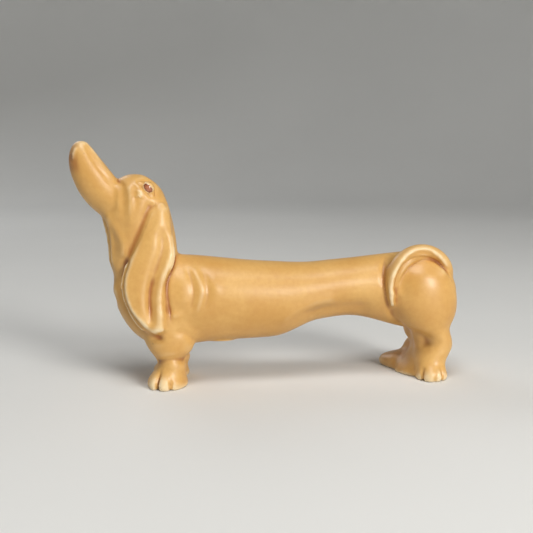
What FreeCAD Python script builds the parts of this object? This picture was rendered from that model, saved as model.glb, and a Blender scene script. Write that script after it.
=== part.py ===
"""Standing dachshund figurine in glazed, slip-cast earthenware.

Frame: millimetres, +Z up, floor at Z = 0, nose towards -X, tail towards +X. The dog's left side
faces -Y. The origin is on the floor, under the middle of the bounding box.

The figurine is built the way a caster sticks it up before firing: a hollow trunk with a drain
hole in its belly, a hollow head and neck luted over a hole in the trunk, and solid ears, legs,
tail and eye beads luted on with slip. Every piece is cut back by what it is stuck to, so that the
pieces meet face to face.
"""

import math
import os
from collections import namedtuple

import FreeCAD
import Part
from FreeCAD import Vector

# ---------------------------------------------------------------- driving dimensions
LENGTH = 195.0  # nominal, nose to rump
WALL = 3.6  # thickness that the slip builds up in the mould
DRAIN_RADIUS = 5.2  # hole in the belly that the slip is poured out of
DRAIN_X = -25.0
RIM_RADIUS = 1.1  # roll of clay round the drain hole
EYE_RADIUS = 2.9
EAR_HALF_THICKNESS = 4.2
TOE_GAP_RADIUS = 1.0
TOE_SPREAD = 27.0  # degrees between neighbouring toe gaps

NOSE_X = -LENGTH / 2
RUMP_X = LENGTH / 2 - 2.1  # the rump ends level with the haunches
RING_POINTS = 16  # points in each cross-section
LEFT, RIGHT = -1, 1
SIDES = {"left": LEFT, "right": RIGHT}
X_AXIS = Vector(1, 0, 0)
Y_AXIS = Vector(0, 1, 0)
Z_AXIS = Vector(0, 0, 1)


# ---------------------------------------------------------------- sections and lofts
def ring(centre, first, second, half_first, half_second, turn=0.0):
    """A closed smooth wire: an ellipse in the plane of the axes first and second.

    turn swings the ellipse in its plane, in degrees, without moving where the wire starts, so
    that a loft through rings of different turn doesn't twist.
    """
    points = []
    for k in range(RING_POINTS):
        angle = 2 * math.pi * k / RING_POINTS
        swung = angle - math.radians(turn)
        radius = 1 / math.hypot(math.cos(swung) / half_first, math.sin(swung) / half_second)
        offset = first * (radius * math.cos(angle)) + second * (radius * math.sin(angle))
        points.append(centre + offset)
    curve = Part.BSplineCurve()
    curve.interpolate(Points=points, PeriodicFlag=True)
    return Part.Wire([curve.toShape()])


def loft(rings):
    return Part.makeLoft(rings, True, False)


def level_ring(level, side=RIGHT, inset=0.0):
    """A ring that lies flat, of a piece that is stacked up in levels."""
    centre = Vector(level.x, side * level.y, level.z)
    half_length = level.half_length - inset
    half_width = level.half_width - inset
    return ring(centre, X_AXIS, Y_AXIS, half_length, half_width, side * level.turn)


def path_rings(stations, towards):
    """Rings along a bent path, each square to the line through its neighbours.

    towards is the way that the second half-size of every ring is measured.
    """
    rings = []
    for k, here in enumerate(stations):
        before = stations[max(k - 1, 0)]
        after = stations[min(k + 1, len(stations) - 1)]
        along = Vector(after.x - before.x, after.y - before.y, after.z - before.z).normalize()
        second = (towards - along * towards.dot(along)).normalize()
        first = along.cross(second)
        centre = Vector(here.x, here.y, here.z)
        rings.append(ring(centre, first, second, here.half_first, here.half_second))
    return rings


def half_space(side):
    """A block that covers everything on one side of the middle of the dog."""
    reach = 2 * LENGTH
    corner = Vector(-reach / 2, 0 if side == RIGHT else -reach, -reach / 2)
    return Part.makeBox(reach, reach, reach, corner)


def cut_each(shape, tools):
    """The shape less every tool, cut one after another, which the solver does more reliably."""
    for tool in tools:
        shape = shape.cut(tool)
    return shape


def only_solid(shape):
    """The main solid of a cut, without any crumbs that the cut left."""
    return max(shape.Solids, key=lambda solid: solid.Volume)


# ---------------------------------------------------------------- trunk
Station = namedtuple("Station", "x belly back half_width")

TRUNK = [
    Station(NOSE_X + 21.2, 38.0, 51.0, 6.0),  # front of the chest
    Station(NOSE_X + 25.2, 30.0, 57.0, 11.0),
    Station(NOSE_X + 33.2, 21.5, 61.5, 15.5),
    Station(NOSE_X + 43.2, 17.8, 63.4, 17.3),
    Station(NOSE_X + 55.2, 18.3, 63.2, 18.0),  # behind the elbows
    Station(NOSE_X + 67.2, 19.8, 62.1, 18.0),
    Station(NOSE_X + 81.2, 20.4, 60.5, 17.7),
    Station(NOSE_X + 96.2, 20.9, 59.3, 17.0),
    Station(NOSE_X + 105.2, 22.9, 58.7, 16.4),
    Station(NOSE_X + 112.2, 26.0, 58.4, 15.8),
    Station(NOSE_X + 123.2, 29.4, 58.9, 15.0),
    Station(NOSE_X + 138.2, 30.7, 60.2, 14.5),  # tuck of the belly
    Station(NOSE_X + 148.2, 29.0, 61.2, 14.6),
    Station(NOSE_X + 158.2, 26.0, 62.2, 15.3),
    Station(NOSE_X + 168.2, 23.4, 63.0, 15.5),  # over the hips
    Station(NOSE_X + 178.2, 23.0, 61.5, 14.5),
    Station(NOSE_X + 186.6, 27.5, 56.0, 11.5),
    Station(RUMP_X, 35.0, 47.0, 5.6),
]


def trunk_ring(station, inset=0.0):
    centre = Vector(station.x, 0, (station.belly + station.back) / 2)
    half_height = (station.back - station.belly) / 2 - inset
    return ring(centre, Y_AXIS, Z_AXIS, station.half_width - inset, half_height)


def trunk_outer():
    return loft([trunk_ring(station) for station in TRUNK])


def trunk_cavity():
    """The space that the drained slip leaves, one wall inside the trunk."""
    return loft([trunk_ring(station, WALL) for station in TRUNK[2:-2]])


def belly_height(x):
    """Height of the belly line at x, straight between the trunk's stations."""
    for before, after in zip(TRUNK, TRUNK[1:]):
        if before.x <= x <= after.x:
            share = (x - before.x) / (after.x - before.x)
            return before.belly + share * (after.belly - before.belly)
    raise ValueError("x is outside the trunk")


def drain_hole():
    depth = 2 * WALL + 2 * RIM_RADIUS
    foot = Vector(DRAIN_X, 0, belly_height(DRAIN_X) - 2 * RIM_RADIUS)
    return Part.makeCylinder(DRAIN_RADIUS, depth, foot, Z_AXIS)


def drain_rim():
    """The roll of clay that is left standing round the mouth of the drain hole."""
    centre = Vector(DRAIN_X, 0, belly_height(DRAIN_X) + RIM_RADIUS / 2)
    return Part.makeTorus(DRAIN_RADIUS + RIM_RADIUS / 2, RIM_RADIUS, centre, Z_AXIS)


# ---------------------------------------------------------------- head and neck
Level = namedtuple("Level", "z x y half_length half_width turn")
PathStation = namedtuple("PathStation", "x y z half_first half_second")

NECK = [
    Level(43.0, -60.6, 0, 13.6, 13.0, 0),
    Level(50.0, -61.6, 0, 15.2, 13.3, 0),
    Level(58.0, -62.6, 0, 16.3, 13.0, 0),
    Level(67.0, -63.4, 0, 16.6, 12.5, 0),
    Level(78.0, -65.0, 0, 16.7, 12.2, 0),
    Level(84.5, -66.3, 0, 16.4, 12.0, 0),  # jaw
    Level(91.0, -65.9, 0, 14.0, 11.4, 0),
    Level(96.0, -66.0, 0, 11.6, 10.2, 0),  # eyes
    Level(99.7, -66.6, 0, 8.4, 7.8, 0),
    Level(101.7, -66.8, 0, 5.4, 4.9, 0),
    Level(102.7, -66.6, 0, 2.0, 1.7, 0),  # crown
]
SKULL_LEVELS = 4  # the last levels of the neck, which stay solid

MUZZLE = [
    PathStation(-73.6, 0, 86.6, 8.4, 8.8),
    PathStation(-79.4, 0, 91.6, 9.1, 8.5),
    PathStation(-84.7, 0, 97.8, 9.2, 7.7),
    PathStation(-89.0, 0, 105.1, 8.2, 6.8),
    PathStation(-91.2, 0, 110.8, 6.7, 5.8),
    PathStation(-91.4, 0, 115.0, 5.1, 4.6),
    PathStation(-90.8, 0, 118.2, 2.2, 2.2),  # tip of the nose
]

EYE_X, EYE_Y, EYE_Z = -60.4, 7.4, 96.4


def head_outer():
    neck = loft([level_ring(level) for level in NECK])
    muzzle = loft(path_rings(MUZZLE, Y_AXIS))
    return neck.fuse(muzzle)


def neck_cavity():
    """The hollow of the neck, which runs down into the hollow of the trunk."""
    return loft([level_ring(level, inset=WALL) for level in NECK[:-SKULL_LEVELS]])


def eye(side):
    return Part.makeSphere(EYE_RADIUS, Vector(EYE_X, side * EYE_Y, EYE_Z))


# ---------------------------------------------------------------- ears
EarLevel = namedtuple("EarLevel", "z front rear outside")

EAR = [
    EarLevel(90.0, -57.4, -53.8, 9.6),
    EarLevel(87.0, -58.6, -52.0, 11.3),
    EarLevel(82.0, -60.6, -50.5, 13.2),
    EarLevel(76.0, -63.4, -49.5, 14.7),
    EarLevel(70.0, -66.4, -48.9, 15.8),
    EarLevel(64.0, -69.7, -48.7, 16.8),
    EarLevel(58.0, -73.0, -50.4, 17.6),
    EarLevel(52.0, -74.6, -53.0, 18.4),
    EarLevel(46.0, -74.2, -53.6, 19.2),
    EarLevel(40.0, -72.2, -53.0, 20.0),
    EarLevel(34.0, -69.2, -52.2, 20.4),
    EarLevel(29.0, -65.0, -53.4, 20.2),
    EarLevel(26.2, -60.8, -57.2, 19.4),  # tip
]


def ear(side):
    rings = []
    for level in EAR:
        half_length = (level.rear - level.front) / 2
        half_thickness = min(EAR_HALF_THICKNESS, half_length)
        y = side * (level.outside - half_thickness)
        centre = Vector((level.front + level.rear) / 2, y, level.z)
        rings.append(ring(centre, X_AXIS, Y_AXIS, half_length, half_thickness))
    return loft(rings)


# ---------------------------------------------------------------- legs
# A paw's heading is the way it points, in degrees outwards from straight forward.
Paw = namedtuple("Paw", "x y half_length half_width heading")

FRONT_PAW = {
    LEFT: Paw(-52.4, 11.2, 10.6, 9.6, 56.0),
    RIGHT: Paw(-51.2, 11.2, 9.8, 9.0, 62.0),
}
FRONT_STEP = {LEFT: 0.0, RIGHT: 2.2}  # how far each foreleg is set back
HIND_PAW = {
    LEFT: Paw(79.6, 14.2, 9.8, 8.0, 80.0),
    RIGHT: Paw(71.0, 14.0, 10.6, 7.4, 26.0),
}


def paw_levels(paw):
    """The sole and the swelling of a paw, below the ankle."""
    return [
        Level(0.0, paw.x, paw.y, paw.half_length - 0.9, paw.half_width - 0.7, -paw.heading),
        Level(1.6, paw.x, paw.y, paw.half_length, paw.half_width, -paw.heading),
        Level(4.6, paw.x, paw.y, paw.half_length - 0.8, paw.half_width - 0.6, -paw.heading),
    ]


FRONT_SHANK = [
    Level(8.2, -51.2, 11.2, 7.8, 7.9, 0),
    Level(12.2, -50.6, 11.4, 6.8, 7.0, 0),  # wrist
    Level(17.5, -51.6, 11.0, 9.0, 7.8, 0),
    Level(22.0, -51.4, 10.4, 11.6, 8.6, 0),
    Level(29.0, -51.8, 9.6, 12.4, 8.8, 0),
    Level(36.0, -51.4, 9.0, 12.0, 9.2, 0),  # shoulder, inside the trunk
]

HIND_SHANK = [
    Level(8.6, 79.6, 13.2, 7.5, 7.4, 0),
    Level(12.6, 81.6, 12.8, 7.5, 7.0, 0),
    Level(17.6, 84.2, 12.4, 6.5, 6.8, 0),  # hock
    Level(22.0, 82.6, 11.8, 7.2, 7.6, 0),
    Level(26.0, 78.8, 10.6, 11.0, 9.6, 0),
    Level(31.0, 77.5, 9.8, 14.8, 11.6, 0),
    Level(37.0, 76.3, 9.4, 17.2, 12.6, 0),
    Level(44.0, 75.7, 9.0, 17.3, 12.6, 0),  # thigh
    Level(50.0, 75.4, 8.6, 15.9, 11.8, 0),
    Level(55.5, 74.8, 7.8, 12.0, 9.8, 0),
    Level(60.4, 74.6, 6.8, 5.6, 5.6, 0),
]

# The clay left standing between the hind feet, from the floor up to between the thighs.
WEB = [
    Level(0.0, 76.0, 0, 10.6, 13.0, 0),
    Level(5.0, 77.2, 0, 8.8, 12.2, 0),
    Level(12.0, 79.8, 0, 6.4, 11.0, 0),
    Level(20.0, 80.8, 0, 6.4, 10.6, 0),
    Level(27.0, 80.2, 0, 8.6, 10.6, 0),
]


def toe_gaps(paw, side):
    """Three upright tapering cutters at the front edge of a paw, which leave four toes."""
    cutters = []
    for step in (-1, 0, 1):
        angle = math.radians(paw.heading + step * TOE_SPREAD)
        x = paw.x - paw.half_length * math.cos(angle)
        y = side * (paw.y + paw.half_length * math.sin(angle))
        foot = Vector(x, y, -1.0)
        cutters.append(Part.makeCone(TOE_GAP_RADIUS, TOE_GAP_RADIUS / 3, 7.0, foot, Z_AXIS))
    return cutters


def leg(paw, shank, side):
    whole = loft([level_ring(level, side) for level in paw_levels(paw) + shank])
    return whole.cut(toe_gaps(paw, side))


def hind_leg(side):
    web = loft([level_ring(level, side) for level in WEB])
    return leg(HIND_PAW[side], HIND_SHANK, side).fuse(web).common(half_space(side))


def front_leg(side):
    shank = [level._replace(x=level.x + FRONT_STEP[side]) for level in FRONT_SHANK]
    return leg(FRONT_PAW[side], shank, side).common(half_space(side))


# ---------------------------------------------------------------- tail
# It leaves the top of the rump, curls forward over the left haunch and ends in front of it.
TAIL = [
    PathStation(89.6, -4.5, 44.0, 2.6, 2.6),
    PathStation(89.6, -6.0, 50.0, 3.0, 3.4),
    PathStation(87.2, -8.4, 56.8, 3.4, 4.2),
    PathStation(81.6, -10.4, 62.0, 3.6, 4.4),
    PathStation(74.4, -11.8, 64.0, 3.8, 4.4),
    PathStation(67.2, -12.8, 62.4, 3.9, 4.3),
    PathStation(61.4, -13.8, 57.6, 3.7, 4.1),
    PathStation(58.2, -14.6, 51.0, 3.1, 3.8),
    PathStation(57.2, -15.2, 45.0, 2.6, 3.4),
    PathStation(57.6, -15.4, 40.6, 1.8, 2.6),
    PathStation(58.6, -15.4, 37.2, 0.9, 1.2),  # tip
]


def tail():
    return loft(path_rings(TAIL, Y_AXIS * LEFT))


# ---------------------------------------------------------------- assembly
def build():
    trunk = trunk_outer()
    head = head_outer()
    neck_hollow = neck_cavity()
    hollow = trunk_cavity().fuse(neck_hollow)
    hind_legs = {side: hind_leg(side) for side in SIDES.values()}
    front_legs = {side: front_leg(side) for side in SIDES.values()}

    nodes = {
        "trunk": trunk.fuse(drain_rim()).cut(hollow).cut(drain_hole()),
        "head_and_neck": cut_each(head, [trunk, neck_hollow, eye(LEFT), eye(RIGHT)]),
        "tail": cut_each(tail(), [trunk, hind_legs[LEFT]]),
    }
    for name, side in SIDES.items():
        nodes[f"eye_{name}"] = eye(side)
        nodes[f"ear_{name}"] = cut_each(ear(side), [head, trunk, front_legs[side]])
        nodes[f"front_leg_{name}"] = cut_each(front_legs[side], [trunk, head])
        nodes[f"hind_leg_{name}"] = hind_legs[side].cut(trunk)
    return nodes


def main():
    os.makedirs("parts", exist_ok=True)
    for name, shape in build().items():
        solid = only_solid(shape)
        solid.exportStep(f"parts/{name}.step")
        crumbs = len(shape.Solids) - 1
        print(f"{name}: {solid.Volume:.0f} mm3, {crumbs} crumbs, sound: {solid.isValid()}")


main()
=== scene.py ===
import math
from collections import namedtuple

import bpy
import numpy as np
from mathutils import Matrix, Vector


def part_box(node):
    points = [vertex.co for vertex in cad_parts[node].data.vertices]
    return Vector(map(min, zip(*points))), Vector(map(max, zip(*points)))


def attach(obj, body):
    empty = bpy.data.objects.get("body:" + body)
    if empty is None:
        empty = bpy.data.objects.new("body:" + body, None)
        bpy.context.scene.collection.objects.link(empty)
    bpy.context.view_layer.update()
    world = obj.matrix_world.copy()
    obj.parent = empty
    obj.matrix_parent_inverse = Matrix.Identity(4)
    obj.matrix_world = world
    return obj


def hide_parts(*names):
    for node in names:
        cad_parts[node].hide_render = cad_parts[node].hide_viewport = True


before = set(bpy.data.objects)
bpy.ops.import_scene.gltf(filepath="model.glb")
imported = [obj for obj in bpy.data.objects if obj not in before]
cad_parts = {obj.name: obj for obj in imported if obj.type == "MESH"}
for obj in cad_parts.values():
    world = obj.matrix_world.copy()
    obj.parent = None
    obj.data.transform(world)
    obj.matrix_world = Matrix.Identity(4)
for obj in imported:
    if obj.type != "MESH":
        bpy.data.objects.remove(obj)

# Looks of the glazed dachshund figurine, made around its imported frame.
#
# The CAD nodes are turned into distances on one grid, melted together with fillets as slip and
# glaze melt them, and meshed as one skin. Strokes then press the creases, folds and lips into
# that skin. At the end the skin is cut along the joins into one closed piece for each node.
# Lengths are in millimetres until the pieces become Blender objects.

import openvdb
from mathutils import Vector
from mathutils.bvhtree import BVHTree

MM = 0.001
VOXEL = 0.70  # spacing of the grid
BAND = 12.0  # voxels on each side of a surface in which distances are kept
SKIN_BAND = 3.0  # voxels on each side of a surface that is meshed
MARGIN = 4.0  # empty space round the figurine on the grid
LEFT, RIGHT = -1, 1
SIDES = {"left": LEFT, "right": RIGHT}

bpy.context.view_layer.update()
CAD_LOW = np.min([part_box(node)[0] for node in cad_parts], axis=0) / MM
CAD_HIGH = np.max([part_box(node)[1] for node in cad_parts], axis=0) / MM
GRID_LOW = CAD_LOW - MARGIN
GRID_SHAPE = tuple(int(n) + 1 for n in np.ceil((CAD_HIGH - CAD_LOW + 2 * MARGIN) / VOXEL))


# ---------------------------------------------------------------- meshes and objects
def vertex_vectors(mesh, key):
    """The points ("co") or the normals ("normal") of a mesh, in one row for each vertex."""
    values = np.empty(len(mesh.vertices) * 3, np.float32)
    mesh.vertices.foreach_get(key, values)
    return values.reshape(-1, 3)


def add_object(name, data):
    """A new object in the scene, which shows this mesh, light or camera."""
    thing = bpy.data.objects.new(name, data)
    bpy.context.scene.collection.objects.link(thing)
    return thing


# ---------------------------------------------------------------- distances on the grid
def node_distance(name):
    """Signed distance to a CAD node, negative inside it."""
    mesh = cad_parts[name].data
    points = (vertex_vectors(mesh, "co") / MM - GRID_LOW) / VOXEL
    mesh.calc_loop_triangles()
    corners = np.empty(len(mesh.loop_triangles) * 3, np.int32)
    mesh.loop_triangles.foreach_get("vertices", corners)
    grid = openvdb.FloatGrid.createLevelSetFromPolygons(
        points.astype(np.float32),
        triangles=corners.reshape(-1, 3).astype(np.uint32),
        transform=openvdb.createLinearTransform(1.0),
        halfWidth=BAND,
    )
    distance = np.full(GRID_SHAPE, BAND, np.float32)
    grid.copyToArray(distance, ijk=(0, 0, 0))
    return distance * VOXEL


def ramp(value):
    """0 below 0, 1 above 1, and an even curve between."""
    value = np.clip(value, 0, 1)
    return value * value * (3 - 2 * value)


def smooth_min(first, second, radius):
    """The union of two solids, with a fillet of about this radius where they meet."""
    closeness = np.maximum(radius - np.abs(first - second), 0) / radius
    return np.minimum(first, second) - closeness**2 * (radius / 4)


def soften(distance, passes):
    """A small blur, which rounds every edge as a coat of glaze does."""
    for axis in (0, 1, 2) * passes:
        before = np.roll(distance, 1, axis)
        after = np.roll(distance, -1, axis)
        distance = (before + 2 * distance + after) / 4
    return distance


def add_ellipsoid(distance, centre, axes, halves, radius):
    """Melts an ellipsoid into the solid. axes are three unit vectors, and halves their half-sizes."""
    reach = max(halves) + 2 * radius
    first = np.maximum(((centre - reach - GRID_LOW) / VOXEL).astype(int), 0)
    last = ((centre + reach - GRID_LOW) / VOXEL).astype(int) + 2
    part = tuple(slice(a, b) for a, b in zip(first, last))
    ticks = [GRID_LOW[k] + VOXEL * np.arange(GRID_SHAPE[k])[part[k]] - centre[k] for k in range(3)]
    x, y, z = np.meshgrid(*ticks, indexing="ij")
    scaled, squeezed = 0, 0
    for axis, half in zip(axes, halves):
        along = x * axis[0] + y * axis[1] + z * axis[2]
        scaled = scaled + (along / half) ** 2
        squeezed = squeezed + (along / half**2) ** 2
    size = np.sqrt(scaled)
    shape = (size - 1) * size / np.sqrt(squeezed + 1e-9)
    distance[part] = smooth_min(distance[part], shape, radius)


# ---------------------------------------------------------------- swellings
# Soft swellings that fill hollows which the clay wouldn't keep, and round the tip of the nose.
Swelling = namedtuple("Swelling", "node centre halves radius")
SWELLINGS = [
    Swelling("head_and_neck", (-90.8, 0, 116.0), (2.3, 2.8, 2.6), 1.0),
    Swelling("front_leg_left", (-45.6, -10.4, 20.0), (5.6, 6.5, 4.6), 2.5),
    Swelling("front_leg_right", (-43.6, 10.4, 20.0), (5.6, 6.5, 4.6), 2.5),
    Swelling("hind_leg_right", (71.0, 9.5, 2.6), (7.5, 7.5, 5.4), 3.0),
    Swelling("hind_leg_right", (76.6, 7.2, 21.6), (5.4, 6.0, 6.4), 3.0),
    Swelling("hind_leg_left", (76.6, -7.0, 22.0), (5.4, 6.0, 6.0), 2.5),
    Swelling("hind_leg_left", (77.4, -8.0, 8.0), (4.6, 5.0, 12.0), 4.0),
]


# ---------------------------------------------------------------- the fused body
FAR_STEP = 2  # voxels by which the right foreleg is set back
FAR_SLIMMER = 0.7  # how much is taken off its wrist all round
EYE_STANDS_PROUD = 0.3  # how far an eye's bead stands out of the skin that wraps it
EYE_FILLET = 1.2
TAIL_FILLET = 1.4
HAUNCH_FILLET = 1.8
WEB_FILLET = 3.4  # between the two hind legs
FORELEG_FILLET = 3.6


def fused_distances():
    """The distance to the whole body, and to each of its nodes apart from the eyes."""
    names = [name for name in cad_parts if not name.startswith("eye")]
    nodes = {name: node_distance(name) for name in names}
    for swelling in SWELLINGS:
        centre = np.array(swelling.centre)
        add_ellipsoid(nodes[swelling.node], centre, np.eye(3), swelling.halves, swelling.radius)
    x, _, z = (low + VOXEL * np.arange(n) for low, n in zip(GRID_LOW, GRID_SHAPE))
    # the neck runs smoothly into the chest, but meets the back at a corner
    neck_fillet = 2.2 + 2.6 * ramp((-58 - x) / 14)[:, None, None]
    # the ears grow out of the head at the root, and behind them they run into the neck
    root = ramp((z - 72) / 14)[None, None, :]
    behind = ramp((x + 57) / 5)[:, None, None] * ramp((z - 58) / 10)[None, None, :]
    ear_fillet = 1.3 + 1.4 * root + 4.0 * behind
    body = smooth_min(nodes["trunk"], nodes["head_and_neck"], neck_fillet)
    for name in SIDES:
        body = smooth_min(body, node_distance(f"eye_{name}") + EYE_STANDS_PROUD, EYE_FILLET)
    hind = smooth_min(nodes["hind_leg_left"], nodes["hind_leg_right"], WEB_FILLET)
    body = smooth_min(body, hind, HAUNCH_FILLET)
    # the far foreleg stands a little further back than its solid, and is slimmer at the wrist
    slimmer = FAR_SLIMMER * (ramp((z - 3) / 4) * ramp((24 - z) / 6))[None, None, :]
    nodes["front_leg_right"] = np.roll(nodes["front_leg_right"], FAR_STEP, 0) + slimmer
    for name in SIDES:
        body = smooth_min(body, nodes[f"front_leg_{name}"], FORELEG_FILLET)
    body = smooth_min(body, nodes["tail"], TAIL_FILLET)
    for name in SIDES:
        body = smooth_min(body, nodes[f"ear_{name}"], ear_fillet)
    body = soften(body, 2)
    return np.maximum(body, -z), nodes


def surface(distance):
    """The points and four-cornered faces of the surface where the distance is zero."""
    grid = openvdb.FloatGrid(SKIN_BAND)
    grid.copyFromArray(np.clip(distance / VOXEL, -SKIN_BAND, SKIN_BAND).astype(np.float32))
    points, quads = grid.convertToQuads(0.0)
    return points * VOXEL + GRID_LOW, quads.astype(np.int64)


# ---------------------------------------------------------------- sums over a mesh
def gathered(where, values, count):
    """Adds up the rows of values that share a place."""
    columns = [np.bincount(where, values[:, k], count) for k in range(values.shape[1])]
    return np.stack(columns, 1)


def vertex_normals(points, quads):
    """The outward direction at each point, averaged over the faces round it."""
    a, b, c, d = (points[quads[:, k]] for k in range(4))
    facing = np.cross(c - a, d - b)
    normals = gathered(quads.ravel(), np.repeat(facing, 4, axis=0), len(points))
    return normals / (np.linalg.norm(normals, axis=1)[:, None] + 1e-12)


def neighbour_mean(points, quads):
    """The mean of each point's neighbours: each edge is walked once each way by its two faces."""
    start = quads.ravel()
    end = np.roll(quads, -1, axis=1).ravel()
    total = gathered(start, points[end], len(points))
    return total / np.bincount(start, minlength=len(points))[:, None]


def reliefs(points, quads, normals, rounds):
    """How far each point stands proud of the surface, after each number of rounds of smoothing."""
    smooth = points
    found = []
    for count in range(1, max(rounds) + 1):
        smooth = (smooth + neighbour_mean(smooth, quads)) / 2
        if count in rounds:
            found.append(np.einsum("ij,ij->i", points - smooth, normals))
    return found


# ---------------------------------------------------------------- strokes
# A stroke presses a crease (height below zero) or raises a lip along a path. The path is drawn on
# a side, front or top view of the dog and acts on the surface that faces that view. width is how
# far the stroke spreads to each side, and fade the lengths over which it dies out at its two ends.
# sides is left, right or both, and within the range of x that a stroke is kept to.
Stroke = namedtuple(
    "Stroke",
    "path height width fade view sides within",
    defaults=((4, 4), "side", "both", None),
)
PLANES = {"side": (0, 2), "front": (1, 2), "top": (0, 1)}
CURVE_STEPS = 6  # straight pieces for each span of a path
FULL_FACING = 0.35  # cosine at which the surface takes the whole of a stroke
STROKE_REACH = 2.6  # widths from a path beyond which its stroke is nothing


def rounded(path):
    """Points on a smooth curve through the path."""
    knots = [np.array(point, float) for point in path]
    knots = [2 * knots[0] - knots[1]] + knots + [2 * knots[-1] - knots[-2]]
    curve = []
    for before, start, end, after in zip(knots, knots[1:], knots[2:], knots[3:]):
        for step in range(CURVE_STEPS):
            t = step / CURVE_STEPS
            straight = 2 * start + (end - before) * t
            bend = (2 * before - 5 * start + 4 * end - after) * t**2
            twist = (3 * start - before - 3 * end + after) * t**3
            curve.append((straight + bend + twist) / 2)
    return np.array(curve + [knots[-2]])


def path_distance(places, curve):
    """The distance of each place from the curve, and how far along the curve it is."""
    best = np.full(len(places), np.inf)
    along = np.zeros(len(places))
    walked = 0.0
    for start, end in zip(curve, curve[1:]):
        span = end - start
        length = math.hypot(*span)
        share = np.clip((places - start) @ span / length**2, 0, 1)
        away = np.linalg.norm(places - start - share[:, None] * span, axis=1)
        nearer = away < best
        best[nearer] = away[nearer]
        along[nearer] = walked + share[nearer] * length
        walked += length
    return best, along, walked


def press(points, normals, stroke, side):
    """How far the stroke moves each point along its normal, on one side of the dog."""
    plane = PLANES[stroke.view]
    mirror = {"side": (1, 1), "front": (side, 1), "top": (1, side)}[stroke.view]
    outward = {"side": (0, side, 0), "front": (-1, 0, 0), "top": (0, 0, 1)}[stroke.view]
    curve = rounded([(a * mirror[0], b * mirror[1]) for a, b in stroke.path])
    reach = STROKE_REACH * stroke.width
    places = points[:, plane]
    near = (places > curve.min(0) - reach).all(1) & (places < curve.max(0) + reach).all(1)
    facing = normals @ np.array(outward, float)
    near &= facing > 0
    if stroke.view == "side":
        near &= points[:, 1] * side > 0
    if stroke.within:
        near &= (points[:, 0] > stroke.within[0]) & (points[:, 0] < stroke.within[1])
    chosen = np.flatnonzero(near)
    away, along, length = path_distance(places[chosen], curve)
    start, end = stroke.fade
    fading = ramp(along / (start + 1e-6)) * ramp((length - along) / (end + 1e-6))
    spread = np.exp(-((away / stroke.width) ** 2))
    moved = np.zeros(len(points))
    moved[chosen] = stroke.height * spread * fading * ramp(facing[chosen] / FULL_FACING)
    return moved


def pressed(points, normals, strokes):
    """The points, moved along their normals by all the strokes together."""
    moved = np.zeros(len(points))
    for stroke in strokes:
        for name, side in SIDES.items():
            if stroke.sides in (name, "both"):
                moved += press(points, normals, stroke, side)
    return points + normals * moved[:, None]


# gaps are the gaps between a paw's toes: the way each one points, in degrees outwards from straight
# forward, how deep it is pressed and how tall it is.
Paw = namedtuple("Paw", "x y side gaps")
PAWS = [
    Paw(-52.4, 11.2, LEFT, [(20, 0.4, 6), (57, 1.6, 10.5), (95, 0.85, 7)]),
    Paw(-49.4, 11.2, RIGHT, [(24, 0.4, 6), (60, 1.4, 9.5), (98, 0.85, 7)]),
    Paw(79.6, 14.2, LEFT, [(43, 1.0, 8), (86, 0.4, 8), (112, 0.9, 8.5)]),
    Paw(71.0, 14.0, RIGHT, [(30, 0.1, 5), (66, 0.2, 5), (100, 0.5, 5)]),
]
GAP_WIDTH = 0.95
TOE_WIDTH = 2.6
TOE_CENTRE = 3.2  # distance from a gap to the middle of the toe beside it
TOE_RISE = 0.35  # how far a toe swells out beside a gap, as a share of the gap's depth
TOE_START = 4.0  # how far ahead of a paw's centre its toes begin
TOE_FADE = 3.0  # length over which they come up from there
TOE_TOP_FADE = 0.6  # upper share of a gap's height over which it dies out
PAW_REACH = 16.0  # how far ahead of a paw's centre the gaps end


def toe_relief(points, paw):
    """How far the gaps press in, and the toes swell out, round the front of one paw."""
    moved = np.zeros(len(points))
    x = points[:, 0] - paw.x
    y = paw.side * points[:, 1] - paw.y
    for degrees, depth, top in paw.gaps:
        angle = math.radians(degrees)
        ahead = -x * math.cos(angle) + y * math.sin(angle)
        across = x * math.sin(angle) + y * math.cos(angle)
        there = ramp((ahead - TOE_START) / TOE_FADE) * (ahead < PAW_REACH)
        there = there * ramp((top - points[:, 2]) / (top * TOE_TOP_FADE))
        gap = np.exp(-((across / GAP_WIDTH) ** 2))
        toes = np.exp(-(((np.abs(across) - TOE_CENTRE) / TOE_WIDTH) ** 2))
        moved += depth * there * (TOE_RISE * toes - gap)
    return moved


# Places where creases of the CAD are smoothed away. The mirrored ones are on both sides.
Melt = namedtuple("Melt", "centre reach")
MELTS = [
    Melt((72.0, 3.0, 8.0), 12.0),
    Melt((74.0, -4.0, 18.0), 10.0),
    Melt((74.0, 8.0, 20.0), 9.0),
    Melt((94.5, -1.0, 38.0), 18.0),
]
MIRRORED_MELTS = [
    Melt((92.0, 7.0, 44.0), 8.0),
    # the nape, behind the ear's root
    Melt((-54.4, 9.0, 90.5), 5.0),
    Melt((-50.0, 9.0, 80.0), 8.0),
    # down the ear
    Melt((-59.6, 16.0, 47.0), 4.5),
    Melt((-60.2, 16.5, 41.0), 4.5),
    Melt((-60.6, 16.5, 35.0), 4.5),
    # down the edge of the breast, in front of the ear
    Melt((-75.4, 13.0, 55.0), 6.0),
    Melt((-75.4, 13.5, 47.0), 6.0),
    Melt((-72.6, 14.5, 39.0), 6.0),
    Melt((-68.0, 15.0, 32.0), 6.0),
    Melt((-61.5, 15.5, 26.5), 6.0),
]
for (x, y, z), reach in MIRRORED_MELTS:
    MELTS += [Melt((x, side * y, z), reach) for side in SIDES.values()]
MELT_ROUNDS = 32
FLAT_SOLE = 0.3  # height under which nothing melts, so that the soles stay flat


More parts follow.
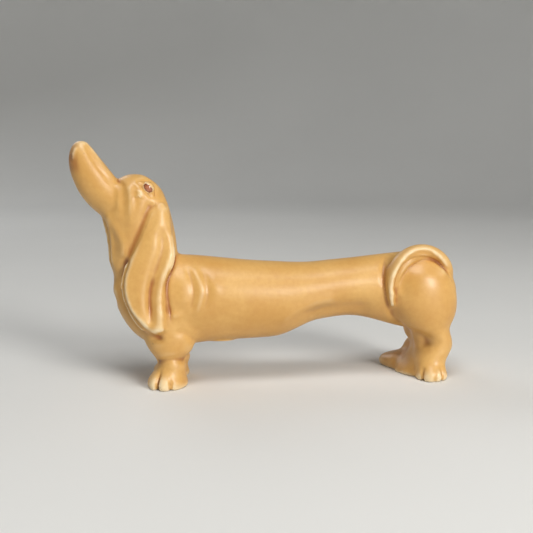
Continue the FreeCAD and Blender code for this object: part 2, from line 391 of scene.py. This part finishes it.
def melted(points, quads):
    """The points, with the chosen places smoothed."""
    share = np.zeros(len(points))
    for melt in MELTS:
        away = np.linalg.norm(points - np.array(melt.centre), axis=1) / melt.reach
        share = np.maximum(share, ramp(2 * (1 - away)))
    share[points[:, 2] < FLAT_SOLE] = 0
    for _ in range(MELT_ROUNDS):
        points = points + share[:, None] * (neighbour_mean(points, quads) - points) / 2
    return points


EAR_STROKES = [
    # the groove in front of the ear: soft on the neck, deep beside the breast and under the tip
    Stroke([(-58.6, 90.4), (-61.4, 84.4), (-64.6, 77.2), (-68.4, 69.2), (-72, 62),
            (-74, 57)], -0.8, 2.0, (3, 6)),
    Stroke([(-70, 64), (-72.9, 57.4), (-73.9, 51.6), (-73.5, 45.6), (-71.1, 38.6), (-67, 33),
            (-61.8, 27.4), (-57.6, 25.4), (-53, 26)], -1.5, 1.9, (6, 4)),
    # the rolled front lip
    Stroke([(-58, 87.4), (-59.3, 83.4), (-62.2, 76.4), (-65.8, 68.4), (-69.2, 61), (-71.2, 56.4), (-72, 51.4),
            (-71.6, 46.2), (-69.4, 39.8), (-65.6, 34.6), (-60.8, 29.4)], 0.75, 1.6),
    # the long hollow, deepest low down, and the thick crest behind it
    Stroke([(-54.6, 80), (-53.8, 68.6), (-56.4, 60), (-58.4, 53.2), (-59.8, 46.4), (-60, 39.6), (-61, 33.4)],
           -1.3, 2.8, (8, 8)),
    Stroke([(-57.8, 56), (-59.6, 50), (-60.3, 44), (-60, 37), (-59.6, 31)], -0.9, 2.0, (6, 4)),
    Stroke([(-51.8, 84), (-50.8, 76.6), (-49.8, 69)], 0.15, 1.6, (5, 5)),
    Stroke([(-50.4, 78), (-49.8, 71), (-50.4, 65), (-52.4, 59.2), (-54.6, 54.6), (-55.9, 50), (-56.4, 43.6),
            (-56, 36.6), (-56, 27.6)], 1.55, 2.9, (20, 2.5)),
    # behind the crest: a valley, the thin edge of the ear and its crease on the shoulder
    Stroke([(-50.4, 60.5), (-52.4, 55.6), (-53.2, 51), (-53.4, 45.6), (-52.8, 37.6), (-52.3, 32)], -0.4, 0.7),
    Stroke([(-47.2, 65), (-48.6, 60), (-50.6, 56), (-51.8, 52.6), (-52.2, 46.8), (-51.3, 39), (-50.4, 32)],
           -0.75, 0.9),
    # the arch over the root of the ear
    Stroke([(-58.2, 87), (-56.9, 89), (-54.6, 90.4), (-52.4, 89.5), (-50.8, 87)], -0.55, 0.8, (1.6, 1.6)),
]
SHOULDER_STROKES = [
    Stroke([(-48, 58), (-45.4, 52), (-45, 45), (-46.2, 37)], 0.35, 2.8, (7, 7)),
    Stroke([(-44, 60), (-41, 54), (-39.8, 48), (-40.6, 42), (-42.4, 36.4)], -0.5, 1.5, (6, 6)),
    Stroke([(-41.4, 60.4), (-38, 54.6), (-36.2, 49), (-36.4, 43.4), (-38, 38), (-40, 34)], 0.4, 1.8, (6, 6)),
    Stroke([(-37, 59), (-33.8, 53), (-32.8, 47.4), (-33.8, 42), (-36, 36.6)], -0.45, 1.6, (6, 6)),
    Stroke([(-32, 57), (-29, 50), (-29, 42)], 0.2, 2.2, (6, 6)),
    # the top of the foreleg, and the crease round the wrist
    Stroke([(-50, 27.8), (-45, 27.4), (-40.8, 24.6), (-38.2, 20.6)], -0.55, 1.8, (4, 4)),
    Stroke([(-59.4, 12.2), (-53, 14.4), (-48, 14.6), (-42, 12.8)], -1.0, 1.8, (1, 3)),
]
THROAT = (-100, -60)  # the range of x that the folds of the throat are kept to
HEAD_STROKES = [
    # the edge of the flattened bridge of the nose, and the line beside it
    Stroke([(-88.4, 118.6), (-87, 116.4), (-85.4, 112.8), (-82, 107), (-78.2, 101.8), (-75.6, 97.8),
            (-74.6, 93.4), (-75, 84)], 0.6, 1.5, (5, 7)),
    Stroke([(-90.6, 118), (-88.6, 115), (-86.4, 110.8), (-83.2, 105.8), (-79.8, 101.4), (-77.4, 97.6)],
           -0.3, 1.0),
    Stroke([(-93.4, 116.4), (-94.8, 113), (-95.8, 109)], 0.4, 0.8, (2, 2)),
    Stroke([(-96, 113), (-97, 108.6)], -0.4, 1.2, (2, 2)),
    # stop, cheek folds and cheekbone
    Stroke([(-75.4, 101.4), (-73.4, 99), (-71, 96.4)], -0.5, 1.1, (2.4, 2.4)),
    Stroke([(-73, 99), (-72.2, 94), (-72, 84), (-71.6, 72)], -0.42, 1.9, (3, 18)),
    Stroke([(-69.9, 99), (-69, 94), (-69, 84), (-69.2, 74)], 0.36, 1.6, (3, 16)),
    Stroke([(-67.4, 98.6), (-66.7, 95.6), (-66.4, 90), (-67, 84)], -0.28, 1.3, (2, 8)),
    Stroke([(-64.4, 95.2), (-64.8, 92.2)], 0.5, 1.9, (0, 0)),
    # the line from the jaw down the throat, and the folds of the throat itself
    Stroke([(-83, 87.4), (-79, 82), (-75.2, 75.7), (-72.8, 69.4), (-72.4, 61)], 0.7, 2.0, (5, 5)),
    Stroke([(0, 84), (0, 70), (0, 56)], -0.9, 1.3, (6, 6), "front", "left", THROAT),
    Stroke([(2.4, 84), (2.2, 70), (2, 56)], 0.5, 0.9, (6, 6), "front", "both", THROAT),
    Stroke([(4.4, 84), (3.8, 70), (3.6, 56)], -0.7, 1.0, (6, 6), "front", "both", THROAT),
    Stroke([(7.2, 84), (6, 70), (5.6, 56)], 0.6, 1.2, (6, 6), "front", "both", THROAT),
    # the breast beside the ear
    Stroke([(-76.6, 60), (-77.4, 50), (-75.8, 41.4), (-71.8, 34), (-66.6, 27.2), (-63.6, 24)], 0.25, 1.6),
]
EYE_STROKES = [
    # the furrow round the almond of the eye, and the two lids
    Stroke([(-66, 99.8), (-63.5, 100), (-61.2, 99.8), (-58.8, 98.4), (-57.1, 95.4), (-57.4, 91.8)],
           -0.5, 0.5, (0.8, 0.8)),
    Stroke([(-66, 99.8), (-62.8, 96.6), (-60.4, 93.8), (-58.6, 91.6)], -0.5, 0.5, (0.8, 0.8)),
    Stroke([(-66.4, 101.2), (-62, 101.6), (-58.2, 100), (-55.8, 96.6), (-55.8, 92.6)], 0.22, 1.3, (4, 4)),
    Stroke([(-67.4, 99.4), (-65.2, 96.6), (-62.4, 94), (-60, 91.6)], 0.12, 1.3, (4, 4)),
]
HAUNCH_STROKES = [
    # the lip of the tail, its hollow inner face, the groove inside it and the rim of the haunch
    Stroke([(90, 49), (88.8, 53), (86.2, 57.4), (82, 62.2), (77.4, 65.4), (72.6, 66.4), (67.8, 65),
            (63.6, 61.8), (60.4, 57.6), (58.1, 52.6), (57.2, 46.4), (57.4, 40)],
           0.35, 1.2, (9, 5), "side", "left"),
    Stroke([(85.6, 55.8), (80.8, 60.6), (75.4, 63.8), (70, 63.4), (65.2, 60.8), (61.6, 56.4), (59.2, 50.8),
            (58.4, 44)], -0.55, 1.4, (5, 3), "side", "left"),
    Stroke([(90.4, 46.6), (88.6, 51.2), (86.2, 54.6), (82.2, 58.1), (77.8, 60.8), (73.2, 61.7),
            (67.8, 60.9), (63.4, 58), (60.6, 53.4), (59.4, 48.4), (59.8, 42)],
           -0.6, 0.65, (7, 3), "side", "left"),
    Stroke([(86.4, 50.6), (83.4, 54.2), (78.6, 57.8), (73.8, 59), (68.6, 58.2), (64.4, 55.2), (62, 50.6),
            (61.2, 45.6), (61.8, 40)], 0.9, 1.7, (5, 5), "side", "left"),
    Stroke([(58.6, 62.6), (55.8, 58.6), (54.2, 54), (53.9, 49), (54.8, 44), (56.2, 38.9), (58.2, 33.6),
            (61, 29)], -0.6, 1.2, (5, 5), "side", "left"),
    Stroke([(59, 37), (59.6, 33), (61.8, 29.6), (66, 26.4)], -0.5, 1.1, (3, 3), "side", "left"),
]
FLANK_STROKES = [
    Stroke([(1, 27), (4.4, 31.6), (9, 35.4), (16, 38.6), (24.3, 40.6), (33, 42)], 0.8, 2.6, (8, 8)),
    Stroke([(12, 31), (20, 34), (30, 35.4), (42, 36), (52, 35)], -1.7, 4.2, (10, 10)),
]
STROKES = EAR_STROKES + SHOULDER_STROKES + HEAD_STROKES + EYE_STROKES + HAUNCH_STROKES + FLANK_STROKES


# ---------------------------------------------------------------- pieces
def mesh_object(name, points, faces):
    """An object made of arrays of points, in millimetres, and of faces."""
    mesh = bpy.data.meshes.new(name)
    mesh.from_pydata((points * MM).tolist(), [], faces.tolist())
    mesh.update()
    return add_object(name, mesh)


def cut(body, cutter, operation, name):
    """A new object, the body with the cutter's space kept (INTERSECT) or taken away (DIFFERENCE)."""
    modifier = body.modifiers.new("cut", "BOOLEAN")
    modifier.object = cutter
    modifier.operation = operation
    modifier.solver = "MANIFOLD"
    depsgraph = bpy.context.evaluated_depsgraph_get()
    mesh = bpy.data.meshes.new_from_object(body.evaluated_get(depsgraph))
    body.modifiers.remove(modifier)
    mesh.name = name
    return add_object(name, mesh)


def discard(thing):
    """Removes an object together with its mesh."""
    mesh = thing.data
    bpy.data.objects.remove(thing)
    bpy.data.meshes.remove(mesh)


CUT_ORDER = [
    "ear_left",
    "ear_right",
    "tail",
    "front_leg_left",
    "front_leg_right",
    "hind_leg_left",
    "hind_leg_right",
    "head_and_neck",
]
CUTTER_MARGIN = 2.8  # how far a cutter reaches past its own node's skin


def split(skin, nodes):
    """Cuts the fused body along the joins, into one closed piece for each node."""
    pieces = {}
    rest = skin
    uncut = list(nodes)
    for name in CUT_ORDER:
        uncut.remove(name)
        nearest_other = nodes[uncut[0]]
        for other in uncut[1:]:
            nearest_other = np.minimum(nearest_other, nodes[other])
        own = nodes[name]
        space = np.maximum((own - nearest_other) / 2, own - CUTTER_MARGIN)
        cutter = mesh_object("cutter", *surface(space))
        pieces[name] = cut(rest, cutter, "INTERSECT", f"{name}_glazed")
        remainder = cut(rest, cutter, "DIFFERENCE", "remainder")
        discard(cutter)
        discard(rest)
        rest = remainder
    rest.name = rest.data.name = "trunk_glazed"
    pieces["trunk"] = rest
    return pieces


def main_island(mesh):
    """Deletes every loose scrap of a cut but the largest."""
    edges = np.empty(len(mesh.edges) * 2, np.int32)
    mesh.edges.foreach_get("vertices", edges)
    first, second = edges.reshape(-1, 2).T
    label = np.arange(len(mesh.vertices))
    while True:
        lower = np.minimum(label[first], label[second])
        step = label.copy()
        np.minimum.at(step, first, lower)
        np.minimum.at(step, second, lower)
        step = step[step]  # labels of labels, so that they spread faster
        step = step[step]
        if (step == label).all():
            break
        label = step
    names, sizes = np.unique(label, return_counts=True)
    if len(names) == 1:
        return
    kept = label == names[sizes.argmax()]
    faces = [polygon.vertices[:] for polygon in mesh.polygons if kept[polygon.vertices[0]]]
    number = np.cumsum(kept) - 1
    faces = [[int(number[corner]) for corner in face] for face in faces]
    points = vertex_vectors(mesh, "co")[kept]
    mesh.clear_geometry()
    mesh.from_pydata(points.tolist(), [], faces)
    mesh.update()


ATTRIBUTES = ("fine_relief", "middling_relief", "broad_relief", "painted_nose_shade")
RELIEF_ROUNDS = (5, 19, 64)  # rounds of smoothing that the three reliefs are measured against
KEY_STEP = 1e-7  # metres, for finding the same vertex again
KEY_PRIMES = (73856093, 19349663, 83492791)
ON_SKIN = 2e-5  # metres from the skin within which a new vertex of a cut still belongs to it

# the whole skin in metres: values are its normals and attributes, and keys name its vertices
Skin = namedtuple("Skin", "points quads values keys tree")


def vertex_keys(points):
    """A whole number for each point, by which the same point is found in another mesh."""
    steps = np.round(points / KEY_STEP).astype(np.int64)
    return steps[:, 0] * KEY_PRIMES[0] ^ steps[:, 1] * KEY_PRIMES[1] ^ steps[:, 2] * KEY_PRIMES[2]


def carry_over(mesh, skin):
    """Gives a piece the skin's own normals and reliefs, so that no join shows in the glaze."""
    points = vertex_vectors(mesh, "co")
    own_normals = vertex_vectors(mesh, "normal")
    order = np.argsort(skin.keys)
    place = np.searchsorted(skin.keys[order], vertex_keys(points))
    place = order[np.minimum(place, len(order) - 1)]
    found = skin.keys[place] == vertex_keys(points)
    values = skin.values[place]
    for k in np.flatnonzero(~found):
        _, _, face, away = skin.tree.find_nearest(Vector(points[k]))
        corners = skin.quads[face]
        if away < ON_SKIN:
            nearness = 1 / (np.linalg.norm(skin.points[corners] - points[k], axis=1) + 1e-7)
            values[k] = nearness @ skin.values[corners] / nearness.sum()
        else:
            values[k, :3] = own_normals[k]
            values[k, 3:] = 0
    mesh.shade_smooth()
    normals = values[:, :3] / (np.linalg.norm(values[:, :3], axis=1)[:, None] + 1e-9)
    mesh.normals_split_custom_set_from_vertices(normals.tolist())
    for k, name in enumerate(ATTRIBUTES):
        attribute = mesh.attributes.new(name, "FLOAT", "POINT")
        attribute.data.foreach_set("value", values[:, 3 + k].astype(np.float32))


def painted_nose_shade(points, normals):
    """1 on the pad of the nose, which faces forward and away from the light and is darkened there with
    painted shade, and 0 away from it.
    """
    facing = ramp((-normals[:, 0] - 0.1) / 0.4)
    high = ramp((points[:, 2] - 102) / 5)
    ahead = ramp((-points[:, 0] - 91.5) / 2)
    return facing * high * ahead


body_distance, node_distances = fused_distances()
points, quads = surface(body_distance)
points = melted(points, quads)
normals = vertex_normals(points, quads)
toes = sum(toe_relief(points, paw) for paw in PAWS)
points = pressed(points + normals * toes[:, None], normals, STROKES)
points[:, 2] = np.maximum(points[:, 2], 0)
normals = vertex_normals(points, quads)
fine, middling, broad = reliefs(points, quads, normals, RELIEF_ROUNDS)
values = np.column_stack([normals, fine, middling, broad, painted_nose_shade(points, normals)])
whole = mesh_object("skin", points, quads)
stored = vertex_vectors(whole.data, "co")
tree = BVHTree.FromPolygons(stored.tolist(), quads.tolist())
skin = Skin(points * MM, quads, values, vertex_keys(stored), tree)
pieces = split(whole, node_distances)
for piece in pieces.values():
    main_island(piece.data)
    carry_over(piece.data, skin)


# ---------------------------------------------------------------- eyes
def lathe(name, profile, centre, axis, steps=48):
    """A closed solid of revolution. profile runs from the back pole to the front pole."""
    turned = []
    for height, radius in profile[1:-1]:
        for k in range(steps):
            angle = 2 * math.pi * k / steps
            turned.append((radius * math.cos(angle), radius * math.sin(angle), height))
    back = (0, 0, profile[0][0])
    front = (0, 0, profile[-1][0])
    local = np.array([back] + turned + [front])
    faces = []
    rings = len(profile) - 2
    last = len(local) - 1
    for k in range(steps):
        after = (k + 1) % steps
        faces.append((0, 1 + after, 1 + k))
        for ring in range(rings - 1):
            low, high = 1 + ring * steps, 1 + (ring + 1) * steps
            faces.append((low + k, low + after, high + after, high + k))
        high = 1 + (rings - 1) * steps
        faces.append((high + k, high + after, last))
    turn = Vector(axis).to_track_quat("Z", "Y").to_matrix()
    placed = local @ np.array(turn).T + centre
    mesh = bpy.data.meshes.new(name)
    mesh.from_pydata((placed * MM).tolist(), [], faces)
    mesh.update()
    mesh.shade_smooth()
    return add_object(name, mesh)


BEAD_OVERSIZE = 1.05  # so that no gap shows between the bead and its socket
FLATTENED = 0.12  # how far the middle of the eye is pressed back into the ball
FLAT_ANGLE = 35.0  # degrees from the eye's axis over which that fades
PROFILE_STEPS = 40
IRIS_HALVES = (2.5, 1.5)  # the painted oval, along and across the slant of the lids
LID_SLANT = (0.67, -0.74)  # in the side view, from the inner to the outer corner
OFF_IRIS = 3.0  # the iris's reach on the half of a bead that is inside the head


def eye_bead(side_name, side):
    """A glazed bead, a little flattened in front, with an oval painted iris."""
    node = f"eye_{side_name}"
    low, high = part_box(node)
    centre = (np.array(low) + np.array(high)) / 2 / MM
    radius = (high.z - low.z) / 2 / MM * BEAD_OVERSIZE
    profile = []
    for k in range(PROFILE_STEPS + 1):
        angle = math.pi * (1 - k / PROFILE_STEPS)
        here = radius - FLATTENED * math.exp(-((math.degrees(angle) / FLAT_ANGLE) ** 2))
        profile.append((here * math.cos(angle), here * math.sin(angle)))
    axis = Vector((0.1, side, 0.1)).normalized()
    bead = lathe(f"{node}_bead", profile, centre, axis)
    iris = bead.data.attributes.new("iris_reach", "FLOAT", "POINT")
    for k, vertex in enumerate(bead.data.vertices):
        x, y, z = np.array(vertex.co) / MM - centre
        along = x * LID_SLANT[0] + z * LID_SLANT[1]
        across = z * LID_SLANT[0] - x * LID_SLANT[1]
        reach = math.hypot(along / IRIS_HALVES[0], across / IRIS_HALVES[1])
        iris.data[k].value = reach if y * side > 0 else OFF_IRIS
    return bead


for name, side in SIDES.items():
    pieces[f"eye_{name}"] = eye_bead(name, side)


# ---------------------------------------------------------------- materials
class Nodes:
    """A material's node tree, written as calls whose results are output sockets."""

    def __init__(self, name):
        self.material = bpy.data.materials.new(name)
        self.material.use_nodes = True
        self.tree = self.material.node_tree
        self.shader = self.tree.nodes["Principled BSDF"]

    def feed(self, socket, value):
        """Links the socket to another node's output, or sets it to a value."""
        if isinstance(value, bpy.types.NodeSocket):
            self.tree.links.new(value, socket)
        else:
            socket.default_value = value

    def node(self, kind, inputs, output=0, **settings):
        made = self.tree.nodes.new(kind)
        for key, value in settings.items():
            setattr(made, key, value)
        for key, value in inputs.items():
            self.feed(made.inputs[key], value)
        return made.outputs[output]

    def place(self):
        return self.node("ShaderNodeTexCoord", {}, "Object")

    def attribute(self, name):
        return self.node("ShaderNodeAttribute", {}, "Fac", attribute_name=name)

    def noise(self, scale, detail=3.0, roughness=0.5):
        inputs = {"Vector": self.place(), "Scale": scale, "Detail": detail, "Roughness": roughness}
        return self.node("ShaderNodeTexNoise", inputs, "Fac")

    def between(self, value, low, high, to_low=0.0, to_high=1.0):
        """value, stretched so that low and high become to_low and to_high, and held there."""
        inputs = {"Value": value, "From Min": low, "From Max": high, "To Min": to_low, "To Max": to_high}
        return self.node("ShaderNodeMapRange", inputs, interpolation_type="SMOOTHSTEP")

    def maths(self, operation, first, second):
        return self.node("ShaderNodeMath", {0: first, 1: second}, operation=operation)

    def mix(self, share, first, second):
        """first where share is 0, second where it is 1. 0, 6 and 7 are the sockets of a colour mix."""
        inputs = {0: share, 6: first, 7: second}
        return self.node("ShaderNodeMix", inputs, 2, data_type="RGBA", clamp_factor=True)

    def bump(self, height, strength, distance, normal=None):
        inputs = {"Height": height, "Strength": strength, "Distance": distance}
        if normal:
            inputs["Normal"] = normal
        return self.node("ShaderNodeBump", inputs)

    def link(self, socket, key):
        self.tree.links.new(socket, self.shader.inputs[key])


def colour(red, green, blue):
    """An sRGB colour, 0 to 255, as the linear values that shaders work in."""
    linear = []
    for value in (red, green, blue):
        value = value / 255
        linear.append(value / 12.92 if value <= 0.04045 else ((value + 0.055) / 1.055) ** 2.4)
    return (*linear, 1.0)


def glaze():
    """Satin butterscotch glaze: creamy where it runs thinner over edges and amber where it gathers in the
    creases, with painted highlight on the edges and painted shade in the creases.
    """
    nodes = Nodes("butterscotch_glaze")
    fine = nodes.attribute("fine_relief")
    middling = nodes.attribute("middling_relief")
    broad = nodes.attribute("broad_relief")
    clouds = nodes.noise(38, 3, 0.55)
    mottle = nodes.noise(420, 4, 0.6)
    grain = nodes.noise(2600, 2, 0.5)

    honey = nodes.mix(nodes.between(clouds, 0.32, 0.68), colour(206, 156, 84), colour(218, 172, 100))
    honey = nodes.mix(nodes.between(mottle, 0.3, 0.75, 0, 0.3), honey, colour(194, 138, 68))
    # the glaze pools amber in the creases and breaks to cream where it runs thinner over edges; the amber is
    # partly painted shade in the hollows and creases, and the cream partly painted highlight on ridges and
    # edges
    wander = nodes.between(mottle, 0.2, 0.8, -0.03, 0.03)
    # broad hollows a darker amber: partly glaze pooling, partly painted shade
    deep = nodes.between(broad, -0.1, -1.1, 0, 0.65)
    skin_colour = nodes.mix(deep, honey, colour(172, 108, 46))
    # creases amber: partly glaze pooling, partly painted shade
    pooled_glaze_and_shade = nodes.between(nodes.maths("ADD", middling, wander), -0.06, -0.6, 0, 0.75)
    skin_colour = nodes.mix(pooled_glaze_and_shade, skin_colour, colour(158, 92, 34))
    # narrow creases dark brown: painted shade together with glaze pooling
    dark = nodes.between(fine, -0.08, -0.4, 0, 0.45)
    skin_colour = nodes.mix(dark, skin_colour, colour(128, 70, 28))
    # painted shade on the forward-facing end of the nose
    nose = nodes.maths("MULTIPLY", nodes.attribute("painted_nose_shade"), 0.6)
    skin_colour = nodes.mix(nose, skin_colour, colour(150, 84, 36))
    # broad raised areas a lighter cream: painted highlight on the bulges, partly glaze breaking
    proud = nodes.between(broad, 0.3, 1.5, 0, 0.4)
    skin_colour = nodes.mix(proud, skin_colour, colour(236, 206, 152))
    # ridges cream: partly glaze breaking where it runs thinner, partly painted highlight
    thin_glaze_and_highlight = nodes.between(nodes.maths("ADD", middling, wander), 0.1, 0.65, 0, 0.72)
    skin_colour = nodes.mix(thin_glaze_and_highlight, skin_colour, colour(243, 220, 176))
    # the sharpest edges a near-white cream: painted highlight, partly glaze breaking
    edge = nodes.between(nodes.maths("ADD", fine, wander), 0.07, 0.32, 0, 0.5)
    skin_colour = nodes.mix(edge, skin_colour, colour(248, 230, 194))
    # pinholes, and the bare clay where the sole was wiped
    cells = nodes.node("ShaderNodeTexVoronoi", {"Vector": nodes.place(), "Scale": 60.0}, "Distance")
    speck = nodes.between(cells, 0.05, 0.02, 0, 0.2)
    skin_colour = nodes.mix(speck, skin_colour, colour(120, 72, 34))
    height = nodes.node("ShaderNodeSeparateXYZ", {"Vector": nodes.place()}, "Z")
    sole = nodes.maths("ADD", height, nodes.maths("MULTIPLY", mottle, 0.0008))
    bare = nodes.between(sole, 0.0012, 0.0007)
    skin_colour = nodes.mix(bare, skin_colour, colour(226, 206, 174))
    nodes.link(skin_colour, "Base Color")

    rough = nodes.between(clouds, 0.3, 0.7, 0.38, 0.46)
    rough = nodes.maths("ADD", rough, nodes.maths("MULTIPLY", bare, 0.4))
    nodes.link(rough, "Roughness")
    dimples = nodes.bump(nodes.noise(900, 3, 0.5), 0.10, 0.0002)
    waves = nodes.bump(nodes.noise(160, 2, 0.5), 0.22, 0.0006, dimples)
    nodes.link(nodes.bump(grain, 0.05, 0.0001, waves), "Normal")
    nodes.shader.inputs["IOR"].default_value = 1.5
    nodes.shader.inputs["Coat Weight"].default_value = 0.18
    nodes.shader.inputs["Coat Roughness"].default_value = 0.22
    return nodes.material


def eye_glaze():
    """A red-brown oval iris on a cream ball, under a glossy coat."""
    nodes = Nodes("eye_glaze")
    reach = nodes.attribute("iris_reach")
    streaks = nodes.noise(1500, 3, 0.6)
    ragged = nodes.maths("ADD", reach, nodes.between(streaks, 0.2, 0.8, -0.12, 0.12))
    iris = nodes.mix(nodes.between(streaks, 0.3, 0.7), colour(190, 124, 88), colour(158, 88, 56))
    iris = nodes.mix(nodes.between(ragged, 0.5, 0.95), iris, colour(122, 60, 34))
    ball = nodes.mix(nodes.between(ragged, 0.92, 1.08), iris, colour(232, 198, 146))
    ball = nodes.mix(nodes.between(reach, 1.25, 1.7), ball, colour(212, 164, 92))
    nodes.link(ball, "Base Color")
    nodes.link(nodes.between(streaks, 0.3, 0.7, 0.12, 0.2), "Roughness")
    nodes.link(nodes.bump(streaks, 0.05, 0.0002), "Normal")
    nodes.shader.inputs["Coat Weight"].default_value = 0.6
    nodes.shader.inputs["Coat Roughness"].default_value = 0.08
    return nodes.material


def floor_finish():
    """A matt, nearly even grey, like a sheet of paper."""
    nodes = Nodes("pale_floor")
    clouds = nodes.noise(3, 3, 0.5)
    pale = nodes.mix(nodes.between(clouds, 0.3, 0.7), colour(224, 224, 222), colour(227, 227, 225))
    nodes.link(pale, "Base Color")
    nodes.link(nodes.between(nodes.noise(40), 0.3, 0.7, 0.86, 0.92), "Roughness")
    nodes.shader.inputs["Specular IOR Level"].default_value = 0.15
    return nodes.material


glaze_finish = glaze()
eye_finish = eye_glaze()
for name, piece in pieces.items():
    is_eye = name.startswith("eye")
    piece.data.materials.clear()
    piece.data.materials.append(eye_finish if is_eye else glaze_finish)
    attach(piece, "root")
    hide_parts(name)


# ---------------------------------------------------------------- stage, light and camera
def sweep(profile, steps=96):
    """A floor that curves up into a wall all round, turned from its profile of radius and height."""
    points = [(0, 0, 0)]
    for radius, height in profile:
        for k in range(steps):
            angle = 2 * math.pi * k / steps
            points.append((radius * math.cos(angle), radius * math.sin(angle), height))
    faces = [(0, 1 + k, 1 + (k + 1) % steps) for k in range(steps)]
    for ring in range(len(profile) - 1):
        inner, outer = 1 + ring * steps, 1 + (ring + 1) * steps
        for k in range(steps):
            after = (k + 1) % steps
            faces.append((inner + k, outer + k, outer + after, inner + after))
    mesh = bpy.data.meshes.new("floor")
    mesh.from_pydata(points, [], faces)
    mesh.shade_smooth()
    return add_object("floor", mesh)


INNER_RADIUS = 0.4  # metres, the first ring of the floor
FLOOR_RADIUS = 1.2  # metres of flat floor
COVE_RADIUS = 0.9  # metres, of the curve up into the wall
WALL_HEIGHT = 1.6  # metres
cove = []
for degrees in range(0, 91, 6):
    turn = math.radians(degrees)
    cove.append((FLOOR_RADIUS + COVE_RADIUS * math.sin(turn), COVE_RADIUS * (1 - math.cos(turn))))
floor = sweep([(INNER_RADIUS, 0)] + cove + [(FLOOR_RADIUS + COVE_RADIUS, WALL_HEIGHT)])
floor.data.materials.append(floor_finish())


def area_light(name, place, target, size, power, tint):
    """A round soft light. Places and size are in metres, and power in watts."""
    light = bpy.data.lights.new(name, "AREA")
    light.shape = "DISK"
    light.size = size
    light.energy = power
    light.color = tint
    lamp = add_object(name, light)
    lamp.location = place
    lamp.rotation_euler = (Vector(target) - Vector(place)).to_track_quat("-Z", "Y").to_euler()


MIDDLE = (0, 0, 0.05)
area_light("key", (0.56, -1.02, 0.52), MIDDLE, 0.45, 11.0, (1.0, 0.985, 0.95))
area_light("top", (-0.05, -0.5, 1.3), MIDDLE, 0.7, 8.5, (1.0, 0.99, 0.97))
area_light("back", (-0.6, 1.1, 0.9), MIDDLE, 0.8, 3.5, (0.98, 0.99, 1.0))

world = bpy.data.worlds.new("room")
world.use_nodes = True
world.node_tree.nodes["Background"].inputs["Color"].default_value = (0.78, 0.79, 0.8, 1)
world.node_tree.nodes["Background"].inputs["Strength"].default_value = 0.09
bpy.context.scene.world = world
bpy.context.scene.view_settings.view_transform = "Standard"

TARGET = Vector((-2.3, 0, 56.4)) * MM
AZIMUTH = math.radians(-8)
ELEVATION = math.radians(8)
DISTANCE = 0.45  # metres
SENSOR = 36.0
FOCAL_PIXELS = 900.0  # focal length as a number of picture elements
PICTURE_WIDTH = 533.0
camera_data = bpy.data.cameras.new("camera")
camera_data.sensor_width = SENSOR
camera_data.lens = SENSOR * FOCAL_PIXELS / PICTURE_WIDTH
camera_data.clip_start = 0.01
camera = add_object("camera", camera_data)
away_x = math.sin(AZIMUTH) * math.cos(ELEVATION)
away_y = -math.cos(AZIMUTH) * math.cos(ELEVATION)
away = Vector((away_x, away_y, math.sin(ELEVATION)))
camera.location = TARGET + away * DISTANCE
camera.rotation_euler = (-away).to_track_quat("-Z", "Y").to_euler()
bpy.context.scene.camera = camera

bpy.context.view_layer.update()
